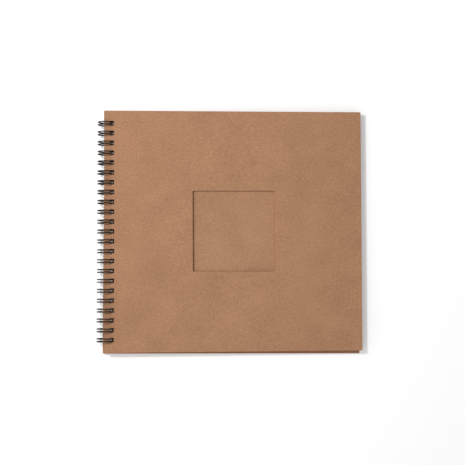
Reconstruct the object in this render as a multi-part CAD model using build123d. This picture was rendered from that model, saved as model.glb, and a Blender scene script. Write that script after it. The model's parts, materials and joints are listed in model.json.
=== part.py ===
from build123d import *
import os
from math import asin, cos, degrees, pi, radians, sin

# Wire-bound scrapbook album, closed and lying on its back. Millimetres, +Z up.
# The spine runs along Y at the low X end, and the head of the album faces +Y.
# Everything is first placed about the centre line of the rings, at x = 0 and z = 0, then moved
# as a whole so that the origin is the middle of the footprint, at table level.

# Boards and pages
BOARD_WIDTH = 335.0
FRONT_HEIGHT, BACK_HEIGHT = 312.0, 314.0  # the back board was cut a little longer than the front
BOARD_CORNER = 1.0
WINDOW_BOARD_THICKNESS = 3.2
BACKING_THICKNESS = 0.3
BACK_BOARD_THICKNESS = 2.0
WINDOW_WIDTH, WINDOW_HEIGHT, WINDOW_CORNER = 107.0, 105.0, 2.0
PAGE_WIDTH, PAGE_HEIGHT = 327.0, 305.0  # a 305 mm (12 in) square beside a punched binding strip
PAGE_COUNT = 20
PAGE_THICKNESS = 0.265
AIR_GAP = 0.025  # between any two leaves

# Wire: one black coated wire bent into a comb and closed to a row of double loops
LOOP_COUNT = 23
LOOP_PITCH = 12.7  # 2 loops to the inch
LOOP_WIDTH = 3.5  # between the two wires of a loop
WIRE_RADIUS = 0.8
RING_RADIUS = 9.7  # to the middle of the wire
SEAM_ANGLE = -70.0  # where the loops close, below the back board
SEAM_GAP = 0.5  # left between a loop's tip and the bends it closes against
BEND_RADIUS = 1.0
CUT_END = 1.5  # the straight stub left at each end of the wire

# Punched holes, and where each kind of leaf has them, out from the centre line of the rings
HOLE_WIDTH, HOLE_HEIGHT = 5.0, 5.8
FRONT_HOLE_AT = 9.3
PAGE_HOLE_AT = 9.3
BACK_HOLE_AT = 7.45
FRONT_HOLE_MARGIN = 10.3  # edge to middle of hole
BACK_HOLE_MARGIN = 9.5
PAGE_HOLE_MARGIN = 7.4

# How the closed album lies
FRONT_TOP = 4.2  # height of the front cover's outer face over the centre line
# The play of the holes lets the leaves lie askew, in degrees, and slip along the spine.
FRONT_TURN, BACK_TURN = 0.38, -0.13
FRONT_SLIP, BACK_SLIP = 0.2, -0.25


def ring_point(angle, y):
    """The point of the ring at this angle from +X, at this place along the spine."""
    return Vector(RING_RADIUS * cos(radians(angle)), y, RING_RADIUS * sin(radians(angle)))


def along_ring(angle):
    """The direction of growing angle there."""
    return Vector(-sin(radians(angle)), 0, cos(radians(angle)))


def quarter_bend(start, heading, side):
    """An arc of 90 degrees from start, leaving along heading and ending along side."""
    end = start + (heading + side) * BEND_RADIUS
    middle = start + side * BEND_RADIUS + (heading - side) * (BEND_RADIUS * cos(pi / 4))
    return ThreePointArc(start, middle, end)


def loop_wire():
    """The whole comb as one tube: up one wire of each loop, round its tip, back, and on to the next."""
    bend_angle = degrees(BEND_RADIUS / RING_RADIUS)
    half_gap = degrees((WIRE_RADIUS + SEAM_GAP / 2) / RING_RADIUS)
    tip_angle = SEAM_ANGLE + half_gap + bend_angle
    base_angle = SEAM_ANGLE + 360 - half_gap - bend_angle
    to_tip, to_base = along_ring(tip_angle) * -1, along_ring(base_angle)
    up, down = Vector(0, 1, 0), Vector(0, -1, 0)

    first_y = -LOOP_PITCH * (LOOP_COUNT - 1) / 2
    start = ring_point(base_angle, first_y - LOOP_WIDTH / 2)
    corner = start + (to_base + down) * BEND_RADIUS
    edges = [Line(corner + down * CUT_END, corner), quarter_bend(corner, up, to_base * -1)]
    for i in range(LOOP_COUNT):
        y_low = first_y + i * LOOP_PITCH - LOOP_WIDTH / 2
        y_high = y_low + LOOP_WIDTH
        round_middle = (tip_angle + base_angle) / 2
        out = [ring_point(a, y_low) for a in (base_angle, round_middle, tip_angle)]
        back = [ring_point(a, y_high) for a in (tip_angle, round_middle, base_angle)]
        tip_start = out[2] + (to_tip + up) * BEND_RADIUS
        tip_end = back[0] + (to_tip + down) * BEND_RADIUS
        edges += [
            ThreePointArc(*out),
            quarter_bend(out[2], to_tip, up),
            Line(tip_start, tip_end),
            quarter_bend(tip_end, up, to_tip * -1),
            ThreePointArc(*back),
            quarter_bend(back[2], to_base, up),
        ]
        base_start = back[2] + (to_base + up) * BEND_RADIUS
        if i < LOOP_COUNT - 1:
            base_end = base_start + up * (LOOP_PITCH - LOOP_WIDTH - 2 * BEND_RADIUS)
            edges += [Line(base_start, base_end), quarter_bend(base_end, up, to_base * -1)]
        else:
            edges.append(Line(base_start, base_start + up * CUT_END))
    path = Wire(edges)
    section = Plane(origin=path @ 0, z_dir=path % 0) * Circle(WIRE_RADIUS)
    return sweep(section, path=path)


def leaf(width, height, thickness, hole_margin, corner=0.0):
    """A punched leaf: the middle of its row of holes is at x = 0, y = 0, and its lower face at z = 0."""
    outline = Rectangle(width, height)
    if corner:
        outline = fillet(outline.vertices(), corner)
    outline = Pos(width / 2 - hole_margin, 0) * outline
    holes = GridLocations(0, LOOP_PITCH, 1, LOOP_COUNT) * Rectangle(HOLE_WIDTH, HOLE_HEIGHT)
    return extrude(outline - holes, thickness)


def laid(solid, hole_at, bottom, turn, slip=0.0):
    """A leaf put on the rings: slipped along the spine, askew about its middle, tipped with the stack."""
    return Rot(0, stack_tilt, 0) * Rot(0, 0, turn) * Pos(hole_at, slip, bottom) * solid


front_thickness = WINDOW_BOARD_THICKNESS + BACKING_THICKNESS
page_step = PAGE_THICKNESS + AIR_GAP
pages_top = FRONT_TOP - front_thickness - AIR_GAP
back_top = pages_top - PAGE_COUNT * page_step
back_bottom = back_top - BACK_BOARD_THICKNESS

# The rings and the far edge of the back board both stand on the table.
ring_outer = RING_RADIUS + WIRE_RADIUS
back_reach = BACK_HOLE_AT - BACK_HOLE_MARGIN + BOARD_WIDTH
stack_tilt = degrees(asin((ring_outer + back_bottom) / back_reach))

front, back = (BOARD_WIDTH, FRONT_HEIGHT), (BOARD_WIDTH, BACK_HEIGHT)
window_board = leaf(*front, WINDOW_BOARD_THICKNESS, FRONT_HOLE_MARGIN, BOARD_CORNER)
window = extrude(
    fillet(Rectangle(WINDOW_WIDTH, WINDOW_HEIGHT).vertices(), WINDOW_CORNER), WINDOW_BOARD_THICKNESS
)
window_board -= Pos(BOARD_WIDTH / 2 - FRONT_HOLE_MARGIN, 0, 0) * window
backing = leaf(*front, BACKING_THICKNESS, FRONT_HOLE_MARGIN, BOARD_CORNER)
back_board = leaf(*back, BACK_BOARD_THICKNESS, BACK_HOLE_MARGIN, BOARD_CORNER)
page = leaf(PAGE_WIDTH, PAGE_HEIGHT, PAGE_THICKNESS, PAGE_HOLE_MARGIN)

window_board_bottom = FRONT_TOP - WINDOW_BOARD_THICKNESS
front_bottom = FRONT_TOP - front_thickness
pieces = {
    "twin_loop_wire": loop_wire(),
    "front_window_board": laid(
        window_board, FRONT_HOLE_AT, window_board_bottom, FRONT_TURN, FRONT_SLIP
    ),
    "front_backing_card": laid(backing, FRONT_HOLE_AT, front_bottom, FRONT_TURN, FRONT_SLIP),
    "back_board": laid(back_board, BACK_HOLE_AT, back_bottom, BACK_TURN, BACK_SLIP),
}
for n in range(PAGE_COUNT):
    bottom = back_top + AIR_GAP + n * page_step
    pieces[f"page_{n + 1:02d}"] = laid(page, PAGE_HOLE_AT, bottom, BACK_TURN)

box = pieces["twin_loop_wire"].bounding_box()
for piece in pieces.values():
    box = box.add(piece.bounding_box())
to_origin = Pos(-box.center().X, -box.center().Y, -box.min.Z)

os.makedirs("parts", exist_ok=True)
for name, piece in pieces.items():
    export_step(to_origin * piece, f"parts/{name}.step")

ring_centre = to_origin.position
front_middle = Pos(BOARD_WIDTH / 2 - FRONT_HOLE_MARGIN, 0)
back_middle = Pos(BOARD_WIDTH / 2 - BACK_HOLE_MARGIN, 0)
recess_floor = to_origin * laid(
    front_middle, FRONT_HOLE_AT, window_board_bottom, FRONT_TURN, FRONT_SLIP
)
back_face = to_origin * laid(back_middle, BACK_HOLE_AT, back_bottom, BACK_TURN, BACK_SLIP)
print("size", box.size)
print("ring centre line", ring_centre)
print("stack tilt, degrees", stack_tilt)
print("recess floor", recess_floor)
print("back face", back_face)
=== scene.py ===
import json
import math

import bpy
import numpy as np
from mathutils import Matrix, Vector


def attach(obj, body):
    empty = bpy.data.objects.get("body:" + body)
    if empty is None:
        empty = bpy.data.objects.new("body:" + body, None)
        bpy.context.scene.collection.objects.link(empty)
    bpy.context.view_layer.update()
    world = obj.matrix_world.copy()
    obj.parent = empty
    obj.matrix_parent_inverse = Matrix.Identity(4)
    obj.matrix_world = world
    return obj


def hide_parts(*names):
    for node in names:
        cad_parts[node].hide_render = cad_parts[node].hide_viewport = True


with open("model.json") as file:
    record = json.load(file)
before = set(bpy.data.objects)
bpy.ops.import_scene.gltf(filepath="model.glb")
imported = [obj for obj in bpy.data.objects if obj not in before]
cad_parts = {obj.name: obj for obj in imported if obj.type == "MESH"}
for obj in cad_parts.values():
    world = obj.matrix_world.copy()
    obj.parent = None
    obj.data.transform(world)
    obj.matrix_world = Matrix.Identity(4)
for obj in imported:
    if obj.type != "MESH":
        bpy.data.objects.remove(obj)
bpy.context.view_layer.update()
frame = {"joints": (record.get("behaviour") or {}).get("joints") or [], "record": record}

# ---------------------------------------------------------------- the album
# A wire-bound kraft album, closed and lying on its back. Everything hangs on the rings, so every
# piece is worked out in millimetres from their centre line: x away from the spine, z up.
MM = 0.001
centre_line = np.array(frame["joints"][0]["pos_m"])
back_normal = frame["record"]["mounts"][0]["axis"]
stack_tilt = math.atan2(-back_normal[0], -back_normal[2])  # the rings lift the spine off the table


def piece(name, points, faces, body, replaced, slot, smooth=False):
    """A mesh object of the album from points in metres: it rides on a body and stands for a CAD
    node.
    Its slot is not used."""
    mesh = bpy.data.meshes.new(name)
    mesh.from_pydata(points.tolist(), [], faces)
    mesh.validate()
    mesh.polygons.foreach_set("use_smooth", [smooth] * len(mesh.polygons))
    made = bpy.data.objects.new(name, mesh)
    bpy.context.scene.collection.objects.link(made)
    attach(made, body)
    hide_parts(replaced)
    return made


# ---------------------------------------------------------------- wire binding
# One long steel wire, bent into a comb of double loops and closed round the punched leaves. It is
# drawn steel with a thin black nylon coat, so it is smooth, dark and softly shiny.
LOOPS, LOOP_PITCH, LOOP_WIDTH = 23, 12.7, 3.5
WIRE_RADIUS, RING_RADIUS = 0.8, 9.7
SEAM_ANGLE, SEAM_GAP = math.radians(-70), 0.5
BEND_RADIUS, CUT_END = 1.0, 1.5
LOOP_SWAY, RING_LEAN = 0.12, 0.25  # how far loop tops lean, each its own way and all headwards
SWAY_SQUEEZE = 0.4  # how much of a loop's own sway also makes its ring smaller
WIRE_SIDES, BEND_STEPS, RING_STEPS = 12, 5, 84


def comb_path():
    """The comb's centre line laid out flat, as distance along the ring and place along the spine.
    It is a square wave with rounded corners: up one wire, across the tip, down the other, and
    along the base to the next loop."""
    turn = np.linspace(0, np.pi / 2, BEND_STEPS)
    start = WIRE_RADIUS + SEAM_GAP / 2  # the base's distance from the seam, and the tip's
    end = 2 * np.pi * RING_RADIUS - start
    run = np.linspace(start + BEND_RADIUS, end - BEND_RADIUS, RING_STEPS)[1:-1]
    half, r = LOOP_WIDTH / 2, BEND_RADIUS
    base_in = np.stack([start + r * (1 - np.cos(turn)), -half - r * (1 - np.sin(turn))], 1)
    up = np.stack([run, np.full(len(run), -half)], 1)
    tip_in = np.stack([end - r * (1 - np.sin(turn)), -half + r * (1 - np.cos(turn))], 1)
    rise = np.concatenate([base_in, up, tip_in])
    fall = rise[::-1] * (1, -1)
    loop = np.concatenate([rise, fall])
    places = (np.arange(LOOPS) - (LOOPS - 1) / 2) * LOOP_PITCH
    comb = loop[None] + np.stack([np.zeros(LOOPS), places], 1)[:, None]
    comb = comb.reshape(-1, 2)
    cut = np.array([0, CUT_END])
    return np.concatenate([comb[:1] - cut, comb, comb[-1:] + cut]), places


def wrapped_tube(flat, places):
    """The flat path rolled round the centre line, and a tube about it: each ring of the tube is the
    path's point plus the wire's radius times the cosine of its turn outwards from the centre line
    and the sine of it across the path. Each loop leans along the spine by the square of the sine of
    its angle above the centre line, so it is straight where it passes through the leaves."""
    sway = np.random.default_rng(7).normal(0, LOOP_SWAY, (2, LOOPS))
    lean, size = [np.interp(flat[:, 1], places, row) for row in sway]
    angle = SEAM_ANGLE - flat[:, 0] / RING_RADIUS
    radius = RING_RADIUS - SWAY_SQUEEZE * np.abs(size)
    along = flat[:, 1] + (RING_LEAN + lean) * np.clip(np.sin(angle), 0, 1) ** 2
    outward = np.stack([np.cos(angle), np.zeros(len(angle)), np.sin(angle)], 1)
    path = outward * radius[:, None]
    path[:, 1] = along
    heading = np.gradient(path, axis=0)
    sideways = np.cross(heading, outward)
    sideways /= np.linalg.norm(sideways, axis=1, keepdims=True)
    turn = np.arange(WIRE_SIDES) * 2 * np.pi / WIRE_SIDES
    ring = (np.cos(turn)[None, :, None] * outward[:, None]
            + np.sin(turn)[None, :, None] * sideways[:, None])
    points = (path[:, None] + WIRE_RADIUS * ring).reshape(-1, 3)
    index = np.arange(len(points)).reshape(len(path), WIRE_SIDES)
    after = np.roll(index, -1, axis=1)
    sides = np.stack([index[:-1], index[1:], after[1:], after[:-1]], 2).reshape(-1, 4)
    ends = [index[0][::-1].tolist(), index[-1].tolist()]
    return points, sides.tolist() + ends


def linear(hex_colour):
    """An sRGB hex colour as linear red, green, blue and full alpha."""
    parts = np.array([int(hex_colour[i:i + 2], 16) for i in (1, 3, 5)]) / 255
    low, high = parts / 12.92, ((parts + 0.055) / 1.055) ** 2.4
    return (*np.where(parts <= 0.04045, low, high).tolist(), 1.0)


def add(tree, kind, inputs, **settings):
    """Adds a node. inputs maps an input's name or number to a value or to another node's output."""
    node = tree.nodes.new(kind)
    for key, value in settings.items():
        setattr(node, key, value)
    for key, value in inputs.items():
        if isinstance(value, bpy.types.NodeSocket):
            tree.links.new(value, node.inputs[key])
        else:
            node.inputs[key].default_value = value
    return node


def new_material(name):
    """An empty material with its tree, its output and its object coordinates in millimetres."""
    material = bpy.data.materials.new(name)
    material.use_nodes = True
    tree = material.node_tree
    tree.nodes.clear()
    output = tree.nodes.new("ShaderNodeOutputMaterial")
    place = add(tree, "ShaderNodeTexCoord", {}).outputs["Object"]
    grown = add(tree, "ShaderNodeMapping", {"Vector": place, "Scale": (1000, 1000, 1000)})
    return material, tree, output, grown.outputs["Vector"]


def nylon_coat():
    """Nylon-coated steel wire: near black, with the slight orange peel of a dipped coat, which
    breaks up its highlights."""
    material, tree, output, mm = new_material("nylon_coated_steel_wire")
    peel = add(tree, "ShaderNodeTexNoise", {"Vector": mm, "Scale": 2.2, "Detail": 2.0})
    bump = add(tree, "ShaderNodeBump",
               {"Height": peel.outputs["Fac"], "Strength": 0.35, "Distance": 0.00008})
    worn = add(tree, "ShaderNodeTexNoise", {"Vector": mm, "Scale": 0.4, "Detail": 3.0})
    gloss = add(tree, "ShaderNodeMapRange",
                {"Value": worn.outputs["Fac"], 1: 0.35, 2: 0.65, 3: 0.3, 4: 0.46})
    colour = add(tree, "ShaderNodeMix",
                 {0: worn.outputs["Fac"], 6: linear("#050506"), 7: linear("#0f0f11")},
                 data_type="RGBA")
    shader = add(tree, "ShaderNodeBsdfPrincipled",
                 {"Base Color": colour.outputs[2], "Roughness": gloss.outputs[0],
                  "Normal": bump.outputs[0], "IOR": 1.53, "Specular IOR Level": 0.28})
    tree.links.new(shader.outputs[0], output.inputs["Surface"])
    return material


wire_points, wire_faces = wrapped_tube(*comb_path())
wire = piece("wire_binding", wire_points * MM + centre_line, wire_faces,
             "back_cover", "twin_loop_wire", "coated_wire", smooth=True)
wire.data.materials.append(nylon_coat())

# ---------------------------------------------------------------- front cover, outer board
# Solid kraft board, guillotined square, with a title window die-cut in its middle and a row of
# holes punched for the wire. The cut edges are a little crushed and show the board's plies.
FRONT_SIZE, BOARD_CORNER, FRONT_HOLE_MARGIN = (335.0, 312.0), 1.0, 10.3
WINDOW_SIZE, WINDOW_CORNER = (107.0, 105.0), 2.0
WINDOW_BOARD_THICKNESS, BACKING_THICKNESS = 3.2, 0.3
HOLE_SIZE = (5.0, 5.8)
FRONT_TOP, FRONT_HOLE_AT = 4.2, 9.3
FRONT_TURN, FRONT_SLIP = math.radians(0.38), 0.2
CRUSHED_EDGE = 0.22
CORNER_TANS = np.tan(np.radians([0, 15, 30, 45]))  # even steps round a corner's arc


def lines_between(edges, step):
    """All the edges, and more lines evenly between them so that none are further apart than step."""
    edges = np.unique(np.round(edges, 5))
    gaps = np.ceil(np.diff(edges) / step).astype(int)
    runs = [np.linspace(a, b, n, endpoint=False) for a, b, n in zip(edges, edges[1:], gaps)]
    return np.concatenate([*runs, edges[-1:]])


def corner_lines(middle, size, radius):
    """The lines of a grid that a rounded rectangle needs: its sides, and those round its corners."""
    arc = size / 2 - radius + radius * CORNER_TANS
    return np.concatenate([middle - arc, middle + arc])


def rounded(points, middle, size, radius):
    """Points in a rectangle's corner squares moved onto its rounded corners: each keeps its
    direction from the arc's centre, and its distance becomes its larger coordinate from there."""
    away = points[:, :2] - middle
    beyond = np.abs(away) - (np.array(size) / 2 - radius)
    corner = (beyond > 1e-6).all(1) & (beyond < radius + 1e-6).all(1)
    shrink = beyond.max(1) / np.maximum(np.hypot(*beyond.T), 1e-9)
    moved = points.copy()
    inner = np.abs(away) - beyond + beyond * shrink[:, None]
    moved[corner, :2] = (middle + np.sign(away) * inner)[corner]
    return moved


def punched_grid(size, hole_margin, step, corner=0.0, window=None):
    """A leaf's middle surface as a flat grid, x from the row of holes and y from the spine's
    middle, without the cells inside the holes and the window."""
    middle = np.array([size[0] / 2 - hole_margin, 0.0])
    rows = (np.arange(LOOPS) - (LOOPS - 1) / 2) * LOOP_PITCH
    x_lines = [np.array([-HOLE_SIZE[0], HOLE_SIZE[0]]) / 2, corner_lines(middle[0], size[0], corner)]
    y_lines = [rows - HOLE_SIZE[1] / 2, rows + HOLE_SIZE[1] / 2, corner_lines(0, size[1], corner)]
    if window:
        x_lines.append(corner_lines(middle[0], window[0], WINDOW_CORNER))
        y_lines.append(corner_lines(0, window[1], WINDOW_CORNER))
    x = lines_between(np.concatenate(x_lines), step)
    y = lines_between(np.concatenate(y_lines), step)
    across, along = np.meshgrid((x[1:] + x[:-1]) / 2, (y[1:] + y[:-1]) / 2, indexing="ij")
    from_row = np.abs(along[..., None] - rows).min(-1)
    cut = (np.abs(across) < HOLE_SIZE[0] / 2) & (from_row < HOLE_SIZE[1] / 2)
    if window:
        cut |= (np.abs(across - middle[0]) < window[0] / 2) & (np.abs(along) < window[1] / 2)
    index = np.arange(len(x) * len(y)).reshape(len(x), len(y))
    quads = np.stack([index[:-1, :-1], index[1:, :-1], index[1:, 1:], index[:-1, 1:]], -1)[~cut]
    used, faces = np.unique(quads, return_inverse=True)
    grid = np.stack([*np.meshgrid(x, y, indexing="ij"), np.zeros((len(x), len(y)))], -1)
    points = grid.reshape(-1, 3)[used]
    if corner:
        points = rounded(points, middle, size, corner)
    if window:
        points = rounded(points, middle, window, WINDOW_CORNER)
    return points, faces.reshape(-1, 4)


def laid(points, hole_at, height, turn, slip):
    """Leaf points put on the rings, in metres: slipped along the spine, askew by turn about its
    middle, tipped with the stack about the centre line, and moved to it."""
    out, along = points[:, 0] + hole_at, points[:, 1] + slip
    x = out * math.cos(turn) - along * math.sin(turn)
    y = out * math.sin(turn) + along * math.cos(turn)
    z = points[:, 2] + height
    tip, level = math.sin(stack_tilt), math.cos(stack_tilt)
    return np.stack([x * level + z * tip, y, z * level - x * tip], 1) * MM + centre_line


def leaf(name, grid, bottom, thickness, hole_at, turn, slip, finish, edge, bevel=0.0, **where):
    """A leaf made from its flat grid: thickened both ways from its middle, its cut edges in their
    own finish, and softly rounded where the board is thick enough to be crushed."""
    points, faces = grid
    middle = laid(points, hole_at, bottom + thickness / 2, turn, slip)
    made = piece(name, middle, faces.tolist(), **where)
    made.data.materials.append(finish)
    made.data.materials.append(edge)
    wall = made.modifiers.new("thickness", "SOLIDIFY")
    wall.thickness, wall.offset, wall.material_offset_rim = thickness * MM, 0, 1
    if bevel:
        edges = made.modifiers.new("crushed_edges", "BEVEL")
        edges.width, edges.segments, edges.limit_method = bevel * MM, 2, "ANGLE"
        edges.angle_limit = math.radians(50)
    return made


def kraft(name, light, dark, fibre_turn=0.0, depth=1.0):
    """Uncoated kraft board or card, unbleached pulp pressed dry: matt, with cloudy formation, hair
    fibres lying mostly along the machine direction, pale shives and a few dark specks. The fibres
    are drawn two to three times as coarse as the real ones, so that they show."""
    material, tree, output, mm = new_material(name)
    turned = add(tree, "ShaderNodeMapping",
                 {"Vector": mm, "Rotation": (0, 0, fibre_turn)}).outputs["Vector"]
    cloud = add(tree, "ShaderNodeTexNoise", {"Vector": turned, "Scale": 0.03, "Detail": 2.0})
    formation = add(tree, "ShaderNodeTexNoise",
                    {"Vector": turned, "Scale": 0.42, "Detail": 5.0, "Roughness": 0.62})
    tone = add(tree, "ShaderNodeMath",
               {0: cloud.outputs["Fac"], 1: 0.3, 2: 0.0}, operation="MULTIPLY")
    tone = add(tree, "ShaderNodeMath",
               {0: formation.outputs["Fac"], 1: 0.7, 2: tone.outputs[0]},
               operation="MULTIPLY_ADD")
    spread = add(tree, "ShaderNodeMapRange", {"Value": tone.outputs[0], 1: 0.32, 2: 0.68})
    colour = add(tree, "ShaderNodeMix",
                 {0: spread.outputs[0], 6: linear(dark), 7: linear(light)}, data_type="RGBA")
    hairs = []
    for angle, length, width, ink, share in (
            (0.12, 4.2, 0.42, "#6d4a31", 0.30), (-0.35, 3.4, 0.5, "#d9b089", 0.26),
            (0.95, 3.0, 0.4, "#7d573a", 0.22)):
        laid_fibres = add(tree, "ShaderNodeMapping",
                          {"Vector": turned, "Rotation": (0, 0, angle),
                           "Scale": (1 / length, 1 / width, 1 / width)})
        strands = add(tree, "ShaderNodeTexNoise",
                      {"Vector": laid_fibres.outputs[0], "Scale": 1.0, "Detail": 1.5,
                       "Distortion": 0.35})
        hair = add(tree, "ShaderNodeMapRange",
                   {"Value": strands.outputs["Fac"], 1: 0.62, 2: 0.74, 3: 0.0, 4: share * depth})
        hairs.append(hair.outputs[0])
        colour = add(tree, "ShaderNodeMix",
                     {0: hair.outputs[0], 6: colour.outputs[2], 7: linear(ink)},
                     data_type="RGBA")
    for spacing, size, ink, share in ((9.0, 0.05, "#4a3020", 0.75), (5.0, 0.07, "#e2bd96", 0.5)):
        cells = add(tree, "ShaderNodeTexVoronoi", {"Vector": turned, "Scale": 1 / spacing})
        speck = add(tree, "ShaderNodeMapRange",
                    {"Value": cells.outputs["Distance"], 1: size, 2: size * 0.5, 3: 0.0, 4: share})
        colour = add(tree, "ShaderNodeMix",
                     {0: speck.outputs[0], 6: colour.outputs[2], 7: linear(ink)},
                     data_type="RGBA")
    tooth = add(tree, "ShaderNodeTexNoise",
                {"Vector": turned, "Scale": 2.4, "Detail": 3.0, "Roughness": 0.7})
    height = add(tree, "ShaderNodeMath", {0: hairs[0], 1: hairs[1]}, operation="ADD")
    height = add(tree, "ShaderNodeMath",
                 {0: tooth.outputs["Fac"], 1: 0.6, 2: height.outputs[0]},
                 operation="MULTIPLY_ADD")
    bump = add(tree, "ShaderNodeBump",
               {"Height": height.outputs[0], "Strength": 0.5, "Distance": 0.00012})
    shader = add(tree, "ShaderNodeBsdfPrincipled",
                 {"Base Color": colour.outputs[2], "Roughness": 0.88, "IOR": 1.47,
                  "Specular IOR Level": 0.32, "Normal": bump.outputs[0]})
    tree.links.new(shader.outputs[0], output.inputs["Surface"])
    return material


def cut_edge(name, light, dark, ply):
    """The guillotined edge of kraft board or card: plies a fraction of a millimetre thick, pressed
    to slightly different tones, with torn fibres across them."""
    material, tree, output, mm = new_material(name)
    layered = add(tree, "ShaderNodeMapping", {"Vector": mm, "Scale": (0.25, 0.25, 1 / ply)})
    plies = add(tree, "ShaderNodeTexNoise",
                {"Vector": layered.outputs[0], "Scale": 1.0, "Detail": 2.0})
    torn = add(tree, "ShaderNodeTexNoise", {"Vector": mm, "Scale": 1.6, "Detail": 4.0})
    tone = add(tree, "ShaderNodeMath",
               {0: plies.outputs["Fac"], 1: torn.outputs["Fac"]}, operation="ADD")
    spread = add(tree, "ShaderNodeMapRange", {"Value": tone.outputs[0], 1: 0.75, 2: 1.25})
    colour = add(tree, "ShaderNodeMix",
                 {0: spread.outputs[0], 6: linear(dark), 7: linear(light)}, data_type="RGBA")
    bump = add(tree, "ShaderNodeBump",
               {"Height": tone.outputs[0], "Strength": 0.6, "Distance": 0.0001})
    shader = add(tree, "ShaderNodeBsdfPrincipled",
                 {"Base Color": colour.outputs[2], "Roughness": 0.95, "IOR": 1.47,
                  "Specular IOR Level": 0.25, "Normal": bump.outputs[0]})
    tree.links.new(shader.outputs[0], output.inputs["Surface"])
    return material


cover_kraft = kraft("uncoated_kraft_board", "#ac8062", "#92694d", depth=1.4)
cover_edge = cut_edge("guillotined_kraft_board_edge", "#a67a58", "#7c5638", 0.3)
leaf(
    "front_cover_window_board",
    punched_grid(FRONT_SIZE, FRONT_HOLE_MARGIN, 9.0, BOARD_CORNER, WINDOW_SIZE),
    FRONT_TOP - WINDOW_BOARD_THICKNESS, WINDOW_BOARD_THICKNESS,
    FRONT_HOLE_AT, FRONT_TURN, FRONT_SLIP,
    cover_kraft, cover_edge, CRUSHED_EDGE,
    body="front_cover", replaced="front_window_board", slot="cover_board")

# ---------------------------------------------------------------- front cover, backing card
# A thinner kraft card glued all over the back of the window board and punched with it. It is the
# floor of the title window; its own sheet, so its fibres lie across the board's.
backing_kraft = kraft("uncoated_kraft_card_backing", "#ad8264", "#946b50", fibre_turn=1.45,
                      depth=1.4)
leaf(
    "front_cover_backing_card", punched_grid(FRONT_SIZE, FRONT_HOLE_MARGIN, 14.0, BOARD_CORNER),
    FRONT_TOP - WINDOW_BOARD_THICKNESS - BACKING_THICKNESS, BACKING_THICKNESS,
    FRONT_HOLE_AT, FRONT_TURN, FRONT_SLIP, backing_kraft, cover_edge,
    body="front_cover", replaced="front_backing_card", slot="cover_board")

# ---------------------------------------------------------------- pages
# Twenty leaves of kraft card, 305 mm high, loose on the rings. Each was punched and cut in a stack
# and has shuffled a little since, so their edges aren't quite in line.
PAGE_SIZE, PAGE_HOLE_MARGIN, PAGE_HOLE_AT = (327.0, 305.0), 7.4, 9.3
PAGES, PAGE_THICKNESS, AIR_GAP = 20, 0.265, 0.025
BACK_TURN = math.radians(-0.13)
SHUFFLE, SHUFFLE_TURN = 0.18, math.radians(0.03)
pages_bottom = (FRONT_TOP - WINDOW_BOARD_THICKNESS - BACKING_THICKNESS - AIR_GAP
                - PAGES * (PAGE_THICKNESS + AIR_GAP))
page_grid = punched_grid(PAGE_SIZE, PAGE_HOLE_MARGIN, 25.0)
page_krafts = [
    kraft("kraft_page_card_warm", "#b78b69", "#a87c5b", 0.0, 0.8),
    kraft("kraft_page_card_pale", "#bd936f", "#ad8260", 0.2, 0.8),
    kraft("kraft_page_card_deep", "#b08362", "#a07454", -0.2, 0.8)]
page_edge = cut_edge("guillotined_kraft_page_edge", "#b18661", "#8a6242", 0.2)
shuffle = np.random.default_rng(11)
for n in range(PAGES):
    aside = shuffle.uniform(-SHUFFLE, SHUFFLE)
    skew = shuffle.uniform(-SHUFFLE_TURN, SHUFFLE_TURN)
    bottom = pages_bottom + AIR_GAP + n * (PAGE_THICKNESS + AIR_GAP)
    leaf(f"page_leaf_{n + 1:02d}", page_grid, bottom, PAGE_THICKNESS,
         PAGE_HOLE_AT + aside, BACK_TURN + skew, 0.0, page_krafts[n * 2 % 3], page_edge,
         body=f"page_{n + 1:02d}", replaced=f"page_{n + 1:02d}", slot="page_card")

# ---------------------------------------------------------------- back cover
# The same kraft board as the front, in one thickness and without a window. It has slipped a little
# towards the spine and askew, so its lower corner shows beyond the front cover.
BACK_SIZE, BACK_BOARD_THICKNESS = (335.0, 314.0), 2.0
BACK_HOLE_MARGIN, BACK_HOLE_AT, BACK_SLIP = 9.5, 7.45, -0.25
leaf(
    "back_cover_board", punched_grid(BACK_SIZE, BACK_HOLE_MARGIN, 14.0, BOARD_CORNER),
    pages_bottom - BACK_BOARD_THICKNESS, BACK_BOARD_THICKNESS, BACK_HOLE_AT, BACK_TURN, BACK_SLIP,
    cover_kraft, cover_edge, CRUSHED_EDGE,
    body="back_cover", replaced="back_board", slot="cover_board")

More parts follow.
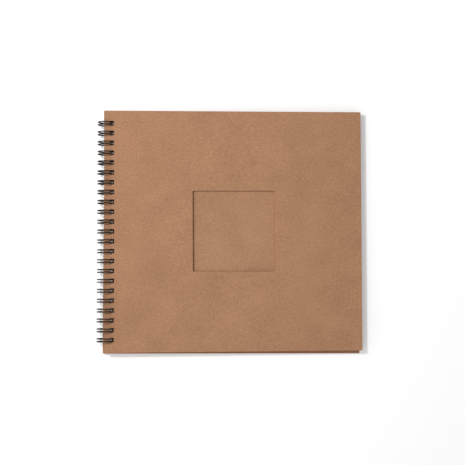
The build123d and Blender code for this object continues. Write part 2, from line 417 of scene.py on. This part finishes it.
# ---------------------------------------------------------------- floor, light and camera
# An opal table under a white sky that is brighter towards the spine and the foot, with one small
# soft lamp high over the head end of the spine side.
FLOOR_HALF = 3.0
floor_mesh = bpy.data.meshes.new("floor")
floor_mesh.from_pydata([(-FLOOR_HALF, -FLOOR_HALF, 0), (FLOOR_HALF, -FLOOR_HALF, 0),
                        (FLOOR_HALF, FLOOR_HALF, 0), (-FLOOR_HALF, FLOOR_HALF, 0)], [],
                       [(0, 1, 2, 3)])
floor = bpy.data.objects.new("floor", floor_mesh)
bpy.context.scene.collection.objects.link(floor)
TABLE_GLOW = 0.19  # opal acrylic, faintly lit from under, keeps the shadows open
opal, opal_tree, opal_output, _ = new_material("opal_acrylic_table")
opal_shader = add(opal_tree, "ShaderNodeBsdfPrincipled",
                  {"Base Color": linear("#e6e6e6"), "Roughness": 0.9, "Specular IOR Level": 0.2,
                   "Emission Color": linear("#ffffff"), "Emission Strength": TABLE_GLOW})
opal_tree.links.new(opal_shader.outputs[0], opal_output.inputs["Surface"])
floor_mesh.materials.append(opal)

SKY, NEAR_GAIN, LEFT_GAIN = 0.66, 0.6, 0.78  # its strength, and its gain to the foot and the spine
world = bpy.data.worlds.new("studio")
world.use_nodes = True
sky = world.node_tree
direction = add(sky, "ShaderNodeTexCoord", {}).outputs["Generated"]
parts = add(sky, "ShaderNodeSeparateXYZ", {"Vector": direction})
near = add(sky, "ShaderNodeMath", {0: parts.outputs["Y"], 1: -SKY * NEAR_GAIN, 2: SKY},
           operation="MULTIPLY_ADD")
strength = add(sky, "ShaderNodeMath",
               {0: parts.outputs["X"], 1: -SKY * LEFT_GAIN, 2: near.outputs[0]},
               operation="MULTIPLY_ADD")
background = sky.nodes["Background"]
background.inputs["Color"].default_value = (1, 1, 1, 1)
sky.links.new(strength.outputs[0], background.inputs["Strength"])
bpy.context.scene.world = world

LAMP_AT, LAMP_SIZE, LAMP_POWER = (-0.82, 0.45, 1.25), 0.24, 15.5  # metres and watts
lamp_data = bpy.data.lights.new("soft_lamp", "AREA")
lamp_data.shape, lamp_data.size, lamp_data.energy = "SQUARE", LAMP_SIZE, LAMP_POWER
lamp = bpy.data.objects.new("soft_lamp", lamp_data)
bpy.context.scene.collection.objects.link(lamp)
lamp.location = LAMP_AT
lamp.rotation_euler = (-Vector(LAMP_AT)).to_track_quat("-Z", "Y").to_euler()

SENSOR_WIDTH, LENS = 36.0, 89.0
CAMERA_AT, CAMERA_TURN = (-0.1029, -0.0495, 1.5), (0.0326, -0.0707, 0.002)  # nearly straight down
camera_data = bpy.data.cameras.new("camera")
camera_data.sensor_width, camera_data.lens = SENSOR_WIDTH, LENS
camera = bpy.data.objects.new("camera", camera_data)
bpy.context.scene.collection.objects.link(camera)
camera.location = CAMERA_AT
camera.rotation_euler = CAMERA_TURN
bpy.context.scene.camera = camera
bpy.context.scene.view_settings.view_transform = "Standard"
